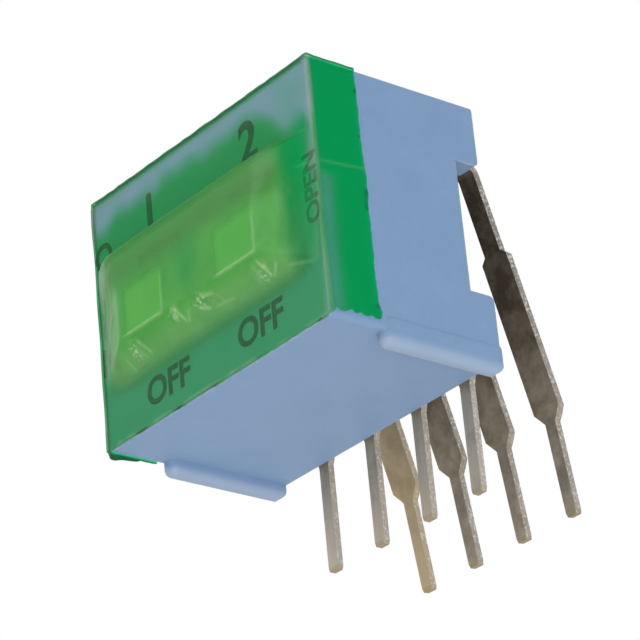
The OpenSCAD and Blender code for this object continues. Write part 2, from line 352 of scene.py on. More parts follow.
def mouldedPlastic(name, setting):
    # colour: cloud noise between two blues, paler near the board, in specks, and in chips where the broken
    # edge's normal turns from the face's own
    material, tree, output = newMaterial(name)
    place = objectPlace(tree)
    cloud = noise(tree, place, setting["cloudSize"], detail=4.0, roughness=0.6)
    grain = noise(tree, place, setting["grainSize"], detail=2.0)
    chips = noise(tree, place, setting["chipSize"], detail=3.0, roughness=0.7)
    edge = addNode(tree, "ShaderNodeBevel", {"samples": 6}, {"Radius": setting["edgeRadius"] * mm})
    face = addNode(tree, "ShaderNodeNewGeometry")
    turn = addNode(tree, "ShaderNodeVectorMath", {"operation": "DOT_PRODUCT"}, {
        0: edge.outputs["Normal"], 1: face.outputs["Normal"],
    })
    broken = ramp(tree, turn.outputs["Value"], setting["edgeTurn"], (0.0, setting["edgeShare"]))
    rubbed = ramp(tree, chips, setting["chipNoise"], (setting["chipLeast"], 1.0))
    # inner corners are shaded by their own walls, and no wear reaches them
    shaded = addNode(tree, "ShaderNodeAmbientOcclusion", {"samples": 6, "only_local": True}, {
        "Distance": setting["cornerReach"] * mm,
    })
    outer = ramp(tree, shaded.outputs["AO"], setting["cornerLight"])
    height = addNode(tree, "ShaderNodeSeparateXYZ", {}, {"Vector": place}).outputs["Z"]
    # the ribs are paler near the board
    paleNearBoard = ramp(tree, height, [z * mm for z in setting["paleNearBoardZ"]], (0.0, setting["paleNearBoardShare"]))
    speck = ramp(tree, chips, setting["speckNoise"], (0.0, setting["speckShare"]))
    exposed = combine(tree, "MULTIPLY", broken, outer)
    chipped = combine(tree, "MULTIPLY", exposed, rubbed)
    paleLowAndSpecks = combine(tree, "ADD", paleNearBoard, speck)
    paleMarks = combine(tree, "MAXIMUM", chipped, paleLowAndSpecks)
    mottled = blend(tree, cloud, hexColour(setting["body"]), hexColour(setting["cloud"]))
    relief = addNode(tree, "ShaderNodeBump", {}, {
        "Strength": setting["grainShare"],
        "Distance": setting["grainHeight"] * mm,
        "Height": grain,
        "Normal": edge.outputs["Normal"],
    })
    surface = addNode(tree, "ShaderNodeBsdfPrincipled", {}, {
        "Base Color": blend(tree, paleMarks, mottled, hexColour(setting["rubbed"])),
        "Roughness": ramp(tree, grain, toRange=[setting["roughness"] + more for more in setting["grainShine"]]),
        "IOR": setting["ior"],
        "Normal": relief.outputs["Normal"],
    })
    tree.links.new(surface.outputs["BSDF"], output.inputs["Surface"])
    return material


dress(nodes["housing"], mouldedPlastic("moulded_blue_polyester", mouldedBlue))
dress(nodes["terminal_base"], mouldedPlastic("moulded_base_polyester", dict(mouldedBlue, roughness=0.55)))

# Moulded nylon of the actuators: ivory white, a little waxy
mouldedWhite = dict(mouldedBlue, body="#EDEBDD", cloud="#E2DFCC", rubbed="#F4F3EA", roughness=0.4, ior=1.53)
ivoryNylon = mouldedPlastic("moulded_ivory_nylon", mouldedWhite)
for name in ("actuator_1", "actuator_2"):
    dress(nodes[name], ivoryNylon)
print("mouldings dressed")

# Poured epoxy: near black, glossy, drawn up and rippled a little as it set
pouredEpoxy = {
    "body": "#30353C",
    "bloom": "#4A5058",
    "roughness": (0.15, 0.4),
    "ior": 1.55,
    "rippleSize": 1.1,     # mm
    "rippleHeight": 0.05,  # mm
    "rippleShare": 0.7,
    "dustSize": 0.12,      # mm
    "dustNoise": (0.45, 0.8),
}


def epoxyPotting(setting):
    # colour: dust noise between body and bloom; relief: long ripples
    material, tree, output = newMaterial("poured_epoxy")
    place = objectPlace(tree)
    dust = noise(tree, place, setting["dustSize"], detail=3.0)
    settled = ramp(tree, dust, setting["dustNoise"])
    relief = addNode(tree, "ShaderNodeBump", {}, {
        "Strength": setting["rippleShare"],
        "Distance": setting["rippleHeight"] * mm,
        "Height": noise(tree, place, setting["rippleSize"], detail=1.5),
    })
    surface = addNode(tree, "ShaderNodeBsdfPrincipled", {}, {
        "Base Color": blend(tree, settled, hexColour(setting["body"]), hexColour(setting["bloom"])),
        "Roughness": ramp(tree, dust, toRange=setting["roughness"]),
        "IOR": setting["ior"],
        "Normal": relief.outputs["Normal"],
    })
    tree.links.new(surface.outputs["BSDF"], output.inputs["Surface"])
    return material


dress(nodes["epoxy_seal"], epoxyPotting(pouredEpoxy))

# Tin plate over stamped copper strip: dull grey, stained brown, drawn lines, torn edges, copper at the cut, and a
# painted shade growing towards the body
tinPlate = {
    "tin": "#C4BBAC",
    "dull": "#A89F90",
    # the golden tone that paints a warm highlight on a lead
    "bloom": "#B9A57C",
    "stainAndShade": "#584F3F",
    "sheared": "#ECE9E2",
    "copper": "#A08C60",
    "metal": 0.45,
    "roughness": (0.4, 0.65),
    "lineSize": 0.05,           # mm across a rolling line
    "lineRun": 1.5,             # mm along it
    "stainSize": 0.9,           # mm
    "stainNoise": (0.35, 0.65),
    "stainSpread": 0.25,        # how far the patches depart from a lead's own share of stain
    "shadeZ": (-3.0, 6.0),      # mm above the board, over which a painted shade grows towards the body
    "shadeRise": (-0.35, 0.28), # what is added to it at both ends
    "sideTurn": (0.6, 0.9),     # share of a normal that looks along X, from front to sheared side
    "tornSize": 0.11,           # mm
    "tornHeight": 0.02,         # mm
    "tornNoise": (0.5, 0.72),
    "tornLeast": 0.25,
    "tornRelief": (0.1, 0.8),   # on the front and on the sheared sides
    "cutZ": (-3.12, -3.18),     # mm above the board, over which the strip's own copper shows
    "cutShare": 0.4,
    "edgeRadius": 0.03,         # mm
}


def platedStrip(name, setting, stainAndShade, goldenHighlight):
    # the first share is the lead's tarnish together with painted dark reflection, and a painted shade that grows
    # with height towards the body is added to it; the second is the share of a golden tone that paints a warm
    # highlight
    material, tree, output = newMaterial(name)
    place = objectPlace(tree)
    along = addNode(tree, "ShaderNodeMapping", {}, {
        "Vector": place, "Scale": (1.0, 1.0, setting["lineSize"] / setting["lineRun"]),
    })
    lines = noise(tree, along.outputs["Vector"], setting["lineSize"], detail=2.0)
    patches = noise(tree, place, setting["stainSize"], detail=5.0, roughness=0.65)
    torn = noise(tree, place, setting["tornSize"], detail=2.0)
    height = addNode(tree, "ShaderNodeSeparateXYZ", {}, {"Vector": place}).outputs["Z"]
    spread = setting["stainSpread"]
    tarnishAndShade = ramp(tree, patches, setting["stainNoise"], (max(stainAndShade - spread, 0.0), min(stainAndShade + spread, 1.0)))
    # painted shade, darker towards the body and lighter at the tips
    shadeNearBody = ramp(tree, height, [z * mm for z in setting["shadeZ"]], setting["shadeRise"])
    stainAndShadeShare = combine(tree, "ADD", tarnishAndShade, shadeNearBody, clamp=True)
    base = blend(tree, lines, hexColour(setting["tin"]), hexColour(setting["dull"]))
    golden = blend(tree, goldenHighlight, base, hexColour(setting["bloom"]))
    stainedAndShaded = blend(tree, stainAndShadeShare, golden, hexColour(setting["stainAndShade"]))
    # sheared sides are the faces that look along X
    face = addNode(tree, "ShaderNodeNewGeometry")
    facing = addNode(tree, "ShaderNodeSeparateXYZ", {}, {"Vector": face.outputs["Normal"]})
    sideways = addNode(tree, "ShaderNodeMath", {"operation": "ABSOLUTE"}, {0: facing.outputs["X"]})
    side = ramp(tree, sideways.outputs["Value"], setting["sideTurn"])
    speck = ramp(tree, torn, setting["tornNoise"], (setting["tornLeast"], 1.0))
    rough = combine(tree, "MULTIPLY", side, speck)
    cutSides = blend(tree, rough, stainedAndShaded, hexColour(setting["sheared"]))
    tip = ramp(tree, height, [z * mm for z in setting["cutZ"]], (0.0, setting["cutShare"]))
    edge = addNode(tree, "ShaderNodeBevel", {"samples": 4}, {"Radius": setting["edgeRadius"] * mm})
    relief = addNode(tree, "ShaderNodeBump", {}, {
        "Strength": ramp(tree, side, toRange=setting["tornRelief"]),
        "Distance": setting["tornHeight"] * mm,
        "Height": torn,
        "Normal": edge.outputs["Normal"],
    })
    surface = addNode(tree, "ShaderNodeBsdfPrincipled", {}, {
        "Base Color": blend(tree, tip, cutSides, hexColour(setting["copper"])),
        "Metallic": setting["metal"],
        "Roughness": ramp(tree, patches, toRange=setting["roughness"]),
        "Normal": relief.outputs["Normal"],
    })
    tree.links.new(surface.outputs["BSDF"], output.inputs["Surface"])
    return material


# per lead, left to right: share of tarnish and painted dark reflection, and share of golden tone that paints a
# warm highlight
leadTones = {
    "upper_terminal_1": (0.10, 0.7),
    "upper_terminal_2": (0.58, 0.1),
    "upper_terminal_3": (0.62, 0.1),
    "upper_terminal_4": (0.66, 0.0),
    "lower_terminal_1": (0.15, 0.0),
    "lower_terminal_2": (0.20, 0.1),
    "lower_terminal_3": (0.15, 0.1),
    "lower_terminal_4": (0.25, 0.0),
}
for name, (stainAndShade, goldenHighlight) in leadTones.items():
    dress(nodes[name], platedStrip("tin_plate_" + name, tinPlate, stainAndShade, goldenHighlight))

# Gold flash on the spring leaves inside: warm yellow, hardly stained
goldFlash = dict(tinPlate, tin="#D8B46A", dull="#C29A4E", stainAndShade="#9C7C40", sheared="#D9C08A")
goldLeaf = platedStrip("gold_flashed_leaf", goldFlash, stainAndShade=0.2, goldenHighlight=0.0)
for name in ("wiper_1a", "wiper_1b", "wiper_2a", "wiper_2b"):
    dress(nodes[name], goldLeaf)
print("metal dressed")

# Print on the face: dark matt ink, laid on the moulding under the film, greyer where it is thin
legend = {
    "ink": "#0C120E",
    "thinInk": "#202A24",
    "thinSize": 0.25,     # mm, of the thin spots
    "roughness": 0.7,
    "thick": 0.008,       # mm
    "lift": 0.003,        # mm off the moulding
    "weight": 0.026,      # of a letter's size, added to each side of a stroke
    "curveSteps": 6,      # in a letter's curves
    "strokeSteps": 10,    # in each round end of the 1
    "blunt": 0.02,        # of its half width, left at the very ends
    "words": [
        # word, middle X, middle Z, height of a letter, quarter turns, squeeze in width
        ("2", 2.70, 8.47, 1.56, 0, 0.95),
        ("OFF", -2.54, 1.72, 1.05, 0, 1.0),
        ("OFF", 2.54, 1.72, 1.05, 0, 1.0),
        ("OPEN", 5.70, 5.30, 0.72, 1, 1.05),
        ("O", -5.68, 7.85, 1.06, 0, 0.9),
        ("P", -5.68, 6.55, 1.06, 0, 0.9),
        ("E", -5.68, 5.20, 1.06, 0, 0.9),
        ("N", -5.68, 3.85, 1.06, 0, 0.9),
    ],
    "bar": (-2.90, 7.70, 9.12, 0.29),   # the plain stroke of the 1: X, low and high Z, width
}


def printInk(setting):
    # colour: noise between the ink and a greyer one
    material, tree, output = newMaterial("pad_print_ink")
    thin = noise(tree, objectPlace(tree), setting["thinSize"], detail=3.0)
    surface = addNode(tree, "ShaderNodeBsdfPrincipled", {}, {
        "Base Color": blend(tree, thin, hexColour(setting["ink"]), hexColour(setting["thinInk"])),
        "Roughness": setting["roughness"],
    })
    tree.links.new(surface.outputs["BSDF"], output.inputs["Surface"])
    return material


def wordMesh(word, setting):
    # built-in font, extruded by one unit and turned to a mesh before it gets its place
    data = bpy.data.curves.new("word", "FONT")
    data.body = word
    data.extrude = 0.5
    data.offset = setting["weight"]
    data.resolution_u = setting["curveSteps"]
    text = bpy.data.objects.new("word", data)
    bpy.context.scene.collection.objects.link(text)
    solid = text.evaluated_get(bpy.context.evaluated_depsgraph_get())
    mesh = bpy.data.meshes.new_from_object(solid)
    bpy.data.objects.remove(text)
    bpy.data.curves.remove(data)
    return mesh


def placeWord(mesh, midX, midZ, height, turns, squeeze, setting):
    # letters: across goes to X and up to Z, scaled to the height and turned by quarter turns
    points = np.zeros(len(mesh.vertices) * 3, np.float32)
    mesh.vertices.foreach_get("co", points)
    points = points.reshape(-1, 3).astype(float)
    low, high = points.min(0), points.max(0)
    flat = (points[:, :2] - (low[:2] + high[:2]) / 2) * height / (high[1] - low[1])
    flat[:, 0] *= squeeze
    angle = turns * np.pi / 2
    across = flat[:, 0] * np.cos(angle) - flat[:, 1] * np.sin(angle) + midX
    upward = flat[:, 0] * np.sin(angle) + flat[:, 1] * np.cos(angle) + midZ
    depth = faceY - setting["lift"] - setting["thick"] * (points[:, 2] - low[2]) / (high[2] - low[2])
    placed = np.stack([across, depth, upward], -1) * mm
    mesh.vertices.foreach_set("co", placed.astype(np.float32).ravel())
    mesh.update()
    return mesh


def strokeShell(setting):
    # the 1: a straight stroke whose half width rounds off at both ends, sqrt(1 - t^2) over the last half width
    midX, low, high, width = setting["bar"]
    share = np.concatenate([
        np.sin(np.linspace(0, np.pi / 2, setting["strokeSteps"])) - 1,
        1 - np.sin(np.linspace(np.pi / 2, 0, setting["strokeSteps"])),
    ])
    middle = np.where(np.arange(len(share)) < setting["strokeSteps"], low + width / 2, high - width / 2)
    upward = middle + share * width / 2
    half = np.maximum(np.sqrt(1 - share ** 2), setting["blunt"]) * width / 2
    across = np.stack([midX - half, midX + half], -1)
    front = np.stack([
        across,
        np.full_like(across, faceY - setting["lift"] - setting["thick"]),
        np.repeat(upward[:, None], 2, 1),
    ], -1)
    back = front + np.array([0, setting["thick"], 0])
    return gridShell(front, back)


def printLegends(setting):
    # the stroke and all words in one flat-shaded mesh, doubles merged and normals turned outwards
    ink = printInk(setting)
    points, quads = strokeShell(setting)
    legends = meshPiece("printed_legends", points, quads, ink)
    work = bmesh.new()
    work.from_mesh(legends.data)
    for word, *place in setting["words"]:
        mesh = placeWord(wordMesh(word, setting), *place, setting)
        work.from_mesh(mesh)
        bpy.data.meshes.remove(mesh)
    bmesh.ops.remove_doubles(work, verts=work.verts, dist=1e-7)
    bmesh.ops.recalc_face_normals(work, faces=work.faces)
    work.to_mesh(legends.data)
    work.free()
    legends.data.polygons.foreach_set("use_smooth", np.zeros(len(legends.data.polygons), dtype=bool))
    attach(legends, "switch_body")
    return legends


printLegends(legend)
print("legends printed")

# Film: one strip over the face and both ends, stretched over the nubs, creased and ragged.
# X is from the middle of the face and Z above the board, in mm, where no other place is named.
film = {
    "thick": 0.06,              # mm
    "standOff": 0.02,           # mm off the face
    "step": 0.06,               # mm between grid lines
    "foldSteps": 7,
    "flap": 2.0,                # mm along the ends
    "edgeShort": 0.03,          # mm that the strip stops short of the long edges
    "foldLift": 0.03,           # mm that the film bridges at the end folds
    "foldWidth": (0.22, 0.12),  # of the bridge, on the face in mm and on a flap as a share of it
    "foldWave": (0.75, 0.25, 2.3),   # its mean, swing and radians per mm along the fold
    "looseLift": 0.02,          # mm that loose film lifts
    # cut edges: size and depth of the tears, mm, and their seed
    "tornLow": (0.16, 0.03, 3),
    "tornHigh": (0.3, 0.02, 4),
    "tornRight": (0.15, 0.025, 5),
    "tornLeft": (0.15, 0.025, 6),
    "tornWave": (0.9, 0.045, 8),
    "tornTongue": (0.12, 0.55, 0.2),   # mm longer, mm above the bottom edge, width
    # the flaps' lower edges, growing over these shares of a flap from its fold
    "flapLow": 0.3,             # mm that the right flap stops short of the bottom edge
    "flapLowOver": (0.0, 0.12),
    "flapTear": 2.5,            # how much deeper its tears are
    "flapTearOver": (0.0, 0.2),
    "flapHang": 0.22,           # mm that the left flap hangs past the bottom edge
    "flapHangOver": ((0.0, 0.04), (0.05, 0.9)),
    # the tent
    "room": 0.05,               # mm between the nubs' faces and the film
    "nubHalf": 1.15,            # mm, half a nub's length
    "flatSide": 1.23,           # mm from the middle of a nub to the film's crease
    "flatLow": 3.63,            # Z of the crease below the nubs
    "flatHigh": 7.02,           # Z of the crease above their travel
    "fallEnd": 2.15,            # mm of run from crease to face
    "fallHigh": 0.42,
    "fallLow": 1.25,
    "foot": 0.06,               # share of the fall over which the film levels out
    "tentEnd": (-0.35, -0.05),  # mm from the end folds, where the tent has to stop
    "turn": 0.05,               # mm, softness of the side creases
    "softZ": (5.3, 6.6),        # over this Z the tent gets wider and softer, by the next three
    "softTurn": 0.3,            # mm more softness
    "softSide": 0.75,           # mm more to flatSide
    "softEnd": 0.65,            # mm less to fallEnd
    "sag": 0.07,                # share of the height lost between the nubs
    "sagTop": 5.4,              # Z from which the sag fades
    # folds on the falls
    "fanDepth": 0.03,           # mm, folds that fan out from the nubs' corners
    "fanCount": 5,
    "fanReach": 0.9,            # mm
    "fanStart": 0.35,           # mm
    "fanShift": 1.7,            # radians between a nub's left and right corners
    "crinkleDepth": 0.01,       # mm, fine crinkles
    "crinkleCount": 6,
    "crinkleSeed": 11,
    "crinkleLength": (0.9, 2.4),   # mm
    "crinkleSway": (0.35, 1.9), # mm, and radians per mm
    "crinkleLevel": 0.25,       # mean of the ridges, taken off
    # where the film lies on a nub at rest: mm in from its left edge, out from its right one, and Z
    "touchLeft": (0.02, 0.35),
    "touchRight": (-0.02, 0.1),
    "touchZ": ((3.52, 3.68), (5.1, 5.5)),
    # painted highlight lines along the film's creases and the nubs' edges
    "lineWidth": 0.045,         # mm
    "rightLine": ((3.5, 3.7), (4.7, 5.4)),       # Z, beside a nub
    "lowerLine": ((-1.25, -0.6), (1.1, 1.25)),   # mm along X from a nub's middle, below it
    "foldLine": 0.035,          # mm, width of the one at the right fold
    "lineOff": 0.02,            # mm, of the first past the nub's edge and of the last short of the fold
    "crossZ": 6.1,              # Z of a crease over the right fold
    "crossRise": 0.2,           # mm that it climbs along the flap
    "crossFrom": (5.2, 5.8),    # X
    # strength of each painted highlight line; slope is the painted light on the lower slope, torn the pale specks
    # at the torn bottom edge
    "highlightShare": {"right": 0.35, "lower": 0.6, "fold": 0.35, "cross": 0.2, "slope": 0.1, "torn": 0.5},
    "creaseWidth": 0.065,       # mm
    "creaseFade": ((-0.1, 0.2), (0.7, 1.1)),     # shares of a crease's length
    "creases": [
        # start X and Z, end X and Z, mm, and how bright its painted highlight
        (3.55, 3.40, 3.85, 2.75, 0.55),
        (3.85, 2.75, 4.35, 3.10, 0.45),
        (3.20, 3.35, 3.45, 2.95, 0.30),
        (4.55, 2.85, 5.80, 2.60, 0.30),
        (0.10, 3.20, 0.75, 2.95, 0.55),
        (0.40, 3.45, 1.20, 3.25, 0.40),
        (0.75, 2.95, 2.10, 2.85, 0.30),
        (1.20, 3.25, 1.45, 2.85, 0.25),
        (-0.90, 3.60, -0.55, 2.95, 0.50),
        (-0.55, 2.95, -0.25, 3.35, 0.35),
        (-3.15, 3.40, -2.75, 2.75, 0.45),
        (-3.45, 3.35, -3.05, 2.70, 0.30),
        (-4.10, 3.10, -3.90, 2.55, 0.30),
        (-5.05, 4.60, -4.85, 3.20, 0.22),
    ],
    "glintPatches": [
        # X and Z, mm, and the spread along each, of a patch of painted glints
        (0.45, 3.30, 0.40, 0.20),
        (-0.95, 3.40, 0.24, 0.20),
        (3.55, 3.00, 0.30, 0.22),
        (-3.35, 3.10, 0.25, 0.25),
    ],
    # loose, pale film: mm down from the top edge, wider at both corners
    "looseReach": 1.25,
    "looseLeft": (0.35, (4.2, 5.6)),     # mm wider, over this distance from the middle of the face
    "looseRight": (1.15, (3.2, 5.0)),
    "looseWaves": ((0.10, 1.7, 0.4), (0.06, 4.3, 0.0)),   # mm, radians per mm, phase
    "looseStart": (0.12, 0.32),
    "looseFade": (-0.75, 0.35),          # about the reach
    "looseTurn": (4.2, 4.7),             # where the loose fold goes over from the face to the flap
    "looseFold": (0.12, 0.16),           # its middle and width, mm on the face and shares on the flap
    "looseShare": (0.3, 0.4, 0.55),      # on the face, more on its upper half, on the flap's lower half
    "haze": (0.3, (1.6, 3.0)),           # its share, and mm above the bottom edge over which it fades
    # cloudy film over the tent, in falls from crease to foot; past the foot it is a painted light over the tent's
    # shadow
    "cloudEnd": (1.25, 1.0),             # below and above the upper crease
    "cloudFade": 0.6,
    "clearFold": (0.9, ((4.55, 5.45), (5.75, 6.0))),   # thinner by this share over X, beside the right fold
    "clearLeft": (0.6, (4.9, 5.5)),      # over X to the left
    "clearHigh": (0.6, (-0.6, 0.0)),     # over mm from the upper crease
    "valleyZ": (3.4, 4.8),
    # painted shade: over this Z the film above the nubs is olive, standing in for the shaded slots behind it;
    # oliveLeft makes the left slope olive as well
    "oliveZ": (5.2, 6.3),
    "oliveLeft": (0.7, (4.1, 4.9), (0.6, 1.15)),   # its share, X to the left, and falls
    "lowSlope": (0.1, 0.5),              # mm below the lower crease, over which the lower slope gets a painted light
    "deepFlap": (0.0, 0.05),             # shares of a flap
    "deepFold": (0.9, 5.8, 2.3),         # its share, middle Z and spread beside the right fold
    # darkening and paleness on the cut edges: mm from the edge; size in mm, seed, gain and level of the specks
    "topDark": (0.8, (0.03, 0.11)),
    "lowDark": (0.01, 0.08),
    "lowSpecks": (0.4, 31, 2.0, -0.6),
    "flapDark": (0.02, 0.13),
    "flapSpecks": (0.25, 32, 3.0, -1.6),
    "paleTear": (0.06, 0.07),
    "paleSpecks": (0.3, 33, 0.5, 0.45),
    "leftFoldDark": (0.7, (0.03, 0.12)),     # at the left fold, over shares of the flap
    "hangDark": (0.0, 0.1),              # mm above the bottom edge
}


def stripRun(setting):
    # back to front along the left end, a quarter turn, across the face, a quarter turn, along the right end
    flapCount = round(setting["flap"] / setting["step"])
    faceCount = round(2 * halfLength / setting["step"])
    away = np.linspace(1, 0, flapCount)
    turn = np.linspace(0, np.pi / 2, setting["foldSteps"])[1:-1]
    across = np.linspace(-halfLength, halfLength, faceCount)
    none = np.zeros_like(turn)
    left, right = np.full(flapCount, -halfLength), np.full(flapCount, halfLength)
    baseX = np.concatenate([left, none - halfLength, across, none + halfLength, right])
    flapShare = np.concatenate([away, none, np.zeros(faceCount), none, away[::-1]])
    normalX = np.concatenate([
        -np.ones(flapCount), -np.cos(turn), np.zeros(faceCount), np.sin(turn), np.ones(flapCount),
    ])
    normalY = np.concatenate([
        np.zeros(flapCount), -np.sin(turn), -np.ones(faceCount), -np.cos(turn), np.zeros(flapCount),
    ])
    return baseX, flapShare, normalX, normalY


def stripEdges(baseX, flapShare, setting):
    # low and high Z of each column: straight edges, the flaps' own lower edges, and torn lines along the run
    stepX = np.diff(baseX, prepend=baseX[0])
    stepFlap = np.diff(flapShare * setting["flap"], prepend=setting["flap"])
    run = np.cumsum(np.hypot(stepX, stepFlap))
    right = baseX > 0
    short = setting["flapLow"] * smoothRamp(flapShare, *setting["flapLowOver"])
    hang = setting["flapHang"] * window(flapShare, *setting["flapHangOver"])
    tear = 1 + setting["flapTear"] * smoothRamp(flapShare, *setting["flapTearOver"]) * right
    low = bottomZ + setting["edgeShort"] + np.where(right, short, -hang)
    low = low + ragged(run, *setting["tornLow"]) * tear
    high = topZ - setting["edgeShort"] + ragged(run, *setting["tornHigh"])
    return low[:, None], high[:, None]


def tentFall(x, z, setting):
    # 0 over the nubs, growing along straight runs to 1 where the film meets the face; the runs meet by a
    # fourth-power mean
    out = np.abs(x) - nubX
    # above the nubs the film is wider and turns more softly
    soft = smoothRamp(z, *setting["softZ"])
    turn = setting["turn"] + setting["softTurn"] * soft
    edge = setting["flatSide"] + setting["softSide"] * soft
    end = setting["fallEnd"] - setting["softEnd"] * soft
    side = turn * np.logaddexp(0, (out - edge) / turn) / end
    upper = np.maximum(z - setting["flatHigh"], 0) / setting["fallHigh"]
    lower = np.maximum(setting["flatLow"] - z, 0) / setting["fallLow"]
    return (side ** 4 + (upper + lower) ** 4) ** (1 / 4)


def tentRise(fall, setting):
    # 1 less the fall, levelling out softly at the foot
    return setting["foot"] * np.logaddexp(0, (1 - fall) / setting["foot"])


def valleyShare(x, z, setting):
    # 0 at the nubs' inner creases, 1 midway between the nubs, fading out towards the straight top crease
    middle = smoothRamp(nubX - np.abs(x), setting["flatSide"], nubX)
    return middle * (1 - smoothRamp(z, setting["sagTop"], setting["flatHigh"]))


def filmFolds(x, z, rise, setting):
    # folds that fan from each nub's corners (sine of the angle about the corner) and random ridged crinkles
    slope = 4 * np.clip(rise, 0, 1) * np.clip(1 - rise, 0, 1)
    fan = np.zeros_like(x)
    for side in (-1, 1):
        for cornerX in (-1, 1):
            for cornerZ in (setting["flatLow"], setting["flatHigh"]):
                offX, offZ = x - side * nubX - cornerX * setting["flatSide"], z - cornerZ
                angle, reach = np.arctan2(offZ, offX), np.hypot(offZ, offX)
                near = np.exp(-reach / setting["fanReach"]) * smoothRamp(reach, 0.0, setting["fanStart"])
                fan += near * np.sin(setting["fanCount"] * angle + setting["fanShift"] * cornerX + cornerZ)
    random = np.random.default_rng(setting["crinkleSeed"])
    sway, swayTurn = setting["crinkleSway"]
    crinkle = np.zeros_like(x)
    for _ in range(setting["crinkleCount"]):
        heading = random.uniform(0, np.pi)
        length = random.uniform(*setting["crinkleLength"])
        phase = random.uniform(0, 6.28)   # up to a full turn
        wander = sway * np.sin(swayTurn * (x * np.sin(heading) - z * np.cos(heading)) + phase)
        wave = np.sin(np.pi * (x * np.cos(heading) + z * np.sin(heading) + wander) / length + phase)
        crinkle += (1 - np.abs(wave)) ** 3 - setting["crinkleLevel"]
    return slope * (setting["fanDepth"] * fan + setting["crinkleDepth"] * crinkle)


def fromNub(x):
    # distance along X from the middle of the nearer nub
    return x - np.where(x < 0, -nubX, nubX)


def nubTouch(x, z, setting):
    # 1 where the film lies on a nub at rest: sharp at its right and lower edges, soft at its left and upper ones
    along, half = fromNub(x), setting["nubHalf"]
    left = smoothRamp(along + half, *setting["touchLeft"])
    right = 1 - smoothRamp(along - half, *setting["touchRight"])
    return left * right * window(z, *setting["touchZ"])


def highlightLines(x, z, flap, setting):
    # painted highlight lines, each a bell across it: the nubs' right and lower edges, the right fold, the
    # crease over it, and straight creases below the nubs
    along, off, width = fromNub(x), setting["lineOff"], setting["lineWidth"]
    white = setting["highlightShare"]
    right = bump(along, setting["nubHalf"] + off, width) * window(z, *setting["rightLine"])
    lower = bump(z, setting["flatLow"], width) * window(along, *setting["lowerLine"])
    fold = bump(x, halfLength - off, setting["foldLine"]) * (flap == 0)
    cross = bump(z, setting["crossZ"] + setting["crossRise"] * flap, width) * smoothRamp(x, *setting["crossFrom"])
    lines = [white["right"] * right, white["lower"] * lower, white["fold"] * fold, white["cross"] * cross]
    for startX, startZ, endX, endZ, strength in setting["creases"]:
        # distance across a straight crease, and the share of its length along it
        length = np.hypot(endX - startX, endZ - startZ)
        alongX, alongZ = (endX - startX) / length, (endZ - startZ) / length
        share = ((x - startX) * alongX + (z - startZ) * alongZ) / length
        across = (x - startX) * alongZ - (z - startZ) * alongX
        lines.append(strength * bump(across, 0.0, setting["creaseWidth"]) * window(share, *setting["creaseFade"]))
    return np.max(lines, 0)


def glintPatchField(x, z, setting):
    # bell-shaped patches of painted glints, where the film is crumpled into small facets
    patches = [bump(x, midX, wide) * bump(z, midZ, high) for midX, midZ, wide, high in setting["glintPatches"]]
    return np.max(patches, 0)


def looseBand(x, z, flap, setting):
    # where the film has let go: along the digit edge, wider at both corners, beside the right fold, a haze below
    down = topZ - z
    moreLeft, leftOver = setting["looseLeft"]
    moreRight, rightOver = setting["looseRight"]
    reach = setting["looseReach"] + moreLeft * smoothRamp(-x, *leftOver) + moreRight * smoothRamp(x, *rightOver)
    for height, turn, phase in setting["looseWaves"]:
        reach = reach + height * np.sin(turn * x + phase)
    along = smoothRamp(down, *setting["looseStart"]) * (1 - smoothRamp(down - reach, *setting["looseFade"]))
    upperHalf = 1 - smoothRamp(down, *setting["looseTurn"])
    middle, width = setting["looseFold"]
    faceShare, upperShare, flapShare = setting["looseShare"]
    onFace = bump(x, halfLength - middle, width) * (faceShare + upperShare * upperHalf)
    onFlap = flapShare * bump(flap, middle, width) * (1 - upperHalf) * (flap > 0)
    hazeShare, hazeOver = setting["haze"]
    haze = hazeShare * (1 - smoothRamp(z - bottomZ, *hazeOver))
    return np.clip((along + onFace + haze) * (flap == 0) + onFlap * (x > 0), 0, 1)


def edgeDarkening(x, z, flap, low, high, setting):
    # darker on the cut edges: unbroken along the top, in specks along the bottom, in nicks on the flaps, and
    # along the left fold where the film hangs
    topShare, topOver = setting["topDark"]
    top = topShare * (1 - smoothRamp(high - z, *topOver))
    bottom = (1 - smoothRamp(z - low, *setting["lowDark"])) * specks(x, *setting["lowSpecks"])
    ends = (1 - smoothRamp((1 - flap) * setting["flap"], *setting["flapDark"])) * (flap > 0)
    ends = ends * specks(z, *setting["flapSpecks"])
    foldShare, foldOver = setting["leftFoldDark"]
    hanging = 1 - smoothRamp(z - bottomZ, *setting["hangDark"])
    leftEnd = x < 1e-6 - halfLength   # the flap and its fold
    leftFold = leftEnd * np.maximum(foldShare * (1 - smoothRamp(flap, *foldOver)), hanging)
    return np.max([top, bottom, ends, leftFold], 0)


